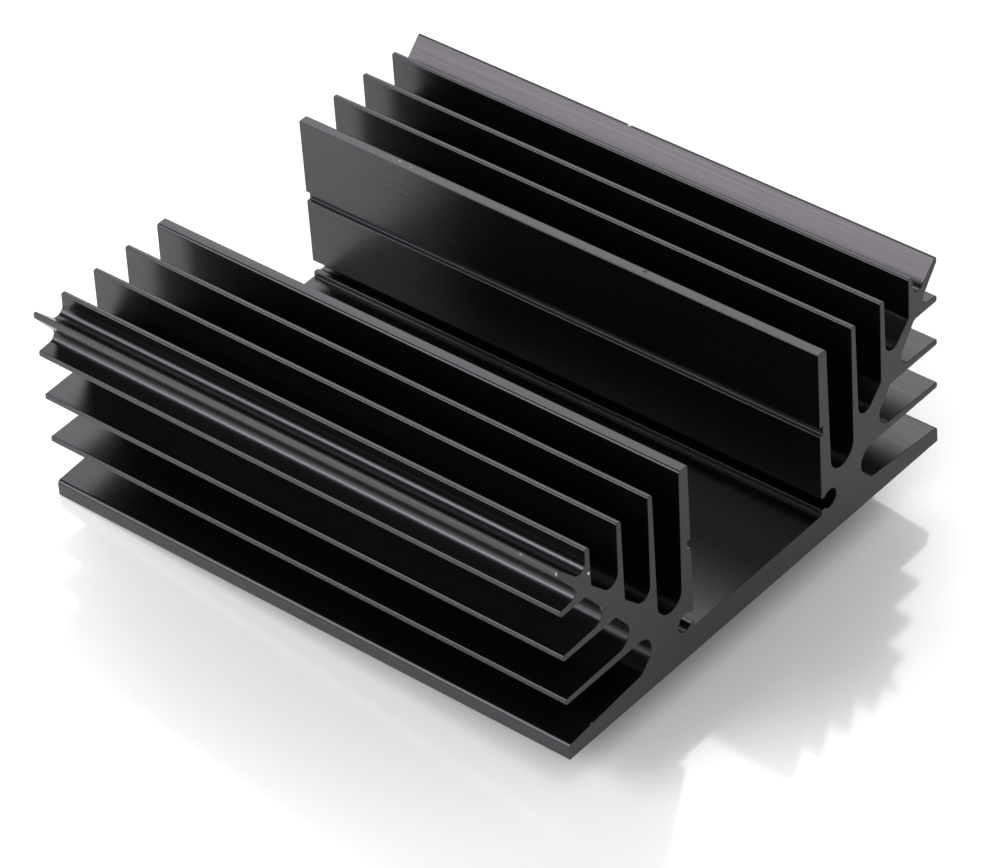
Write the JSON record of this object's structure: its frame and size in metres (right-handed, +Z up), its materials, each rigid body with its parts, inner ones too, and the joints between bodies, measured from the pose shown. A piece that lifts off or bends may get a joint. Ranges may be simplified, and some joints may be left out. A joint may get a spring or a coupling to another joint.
{
  "type": "extruded heat sink",
  "caption": "Black anodised extruded heat sink bar with a wide central channel, upright fins above a diagonal web, level side fins and a slanting corner fin.",
  "frame": {"origin": "centre of the flat underside, midway along the bar", "axes": "+Y along the bar, from the near sawn end to the far one; +X across the section; +Z up, out of the channel's open side"},
  "size_m": [0.088, 0.1, 0.035],
  "materials": {
    "anodised_aluminium": "black anodised, satin"
  },
  "bodies": {
    "root": {"heat_sink": "anodised_aluminium"}
  },
  "joints": []
}
